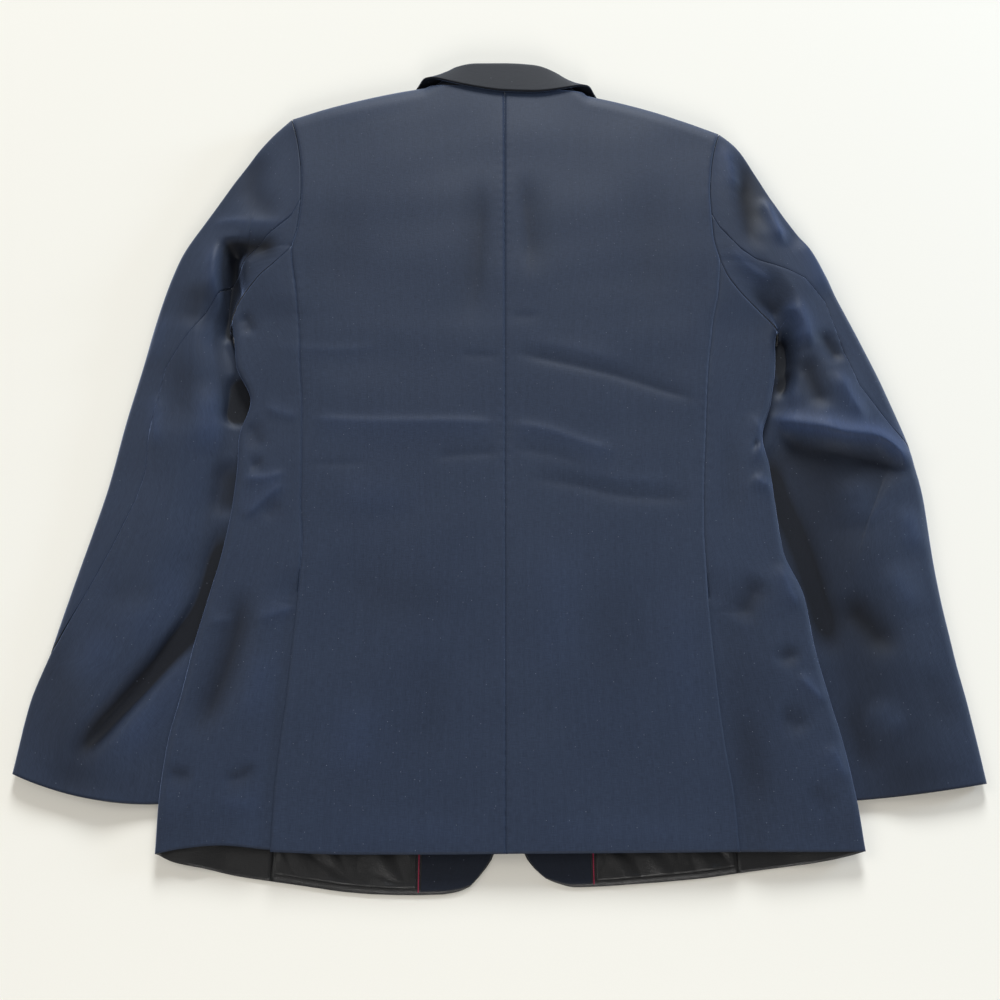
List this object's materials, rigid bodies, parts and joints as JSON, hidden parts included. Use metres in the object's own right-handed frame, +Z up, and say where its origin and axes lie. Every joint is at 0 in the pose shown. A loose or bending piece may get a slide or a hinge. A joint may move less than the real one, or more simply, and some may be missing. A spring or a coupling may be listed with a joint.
{
  "type": "suit jacket laid flat, back up",
  "caption": "Man's single-breasted suit jacket in plain navy worsted, laid face down with its sleeves beside the body; side vents, turned-down collar, lining edge showing at the front hem.",
  "frame": {"origin": "on the floor, under the middle of the jacket's length and width", "axes": "+Z up through the jacket from its front to its back; +Y from the hem to the collar; -X to the wearer's left sleeve"},
  "size_m": [0.8053, 0.8083, 0.0338],
  "materials": {
    "navy_suiting": "fine plain worsted with a faint blue sheen",
    "black_satin": "black satin lining",
    "magenta_edging": "thin satin piping",
    "navy_horn": "satin horn button"
  },
  "bodies": {
    "root": {"back_left": "navy_suiting", "back_right": "navy_suiting", "front_left": "navy_suiting", "front_right": "navy_suiting", "side_body_left": "navy_suiting", "side_body_right": "navy_suiting", "top_sleeve_left": "navy_suiting", "top_sleeve_right": "navy_suiting", "under_sleeve_left": "navy_suiting", "under_sleeve_right": "navy_suiting", "lapel_left": "navy_suiting", "lapel_right": "navy_suiting", "facing_left": "navy_suiting", "facing_right": "navy_suiting", "collar": "navy_suiting", "lining_left": "black_satin", "lining_right": "black_satin", "piping_left": "magenta_edging", "piping_right": "magenta_edging", "button_lower": "navy_horn", "button_upper": "navy_horn"}
  },
  "joints": []
}
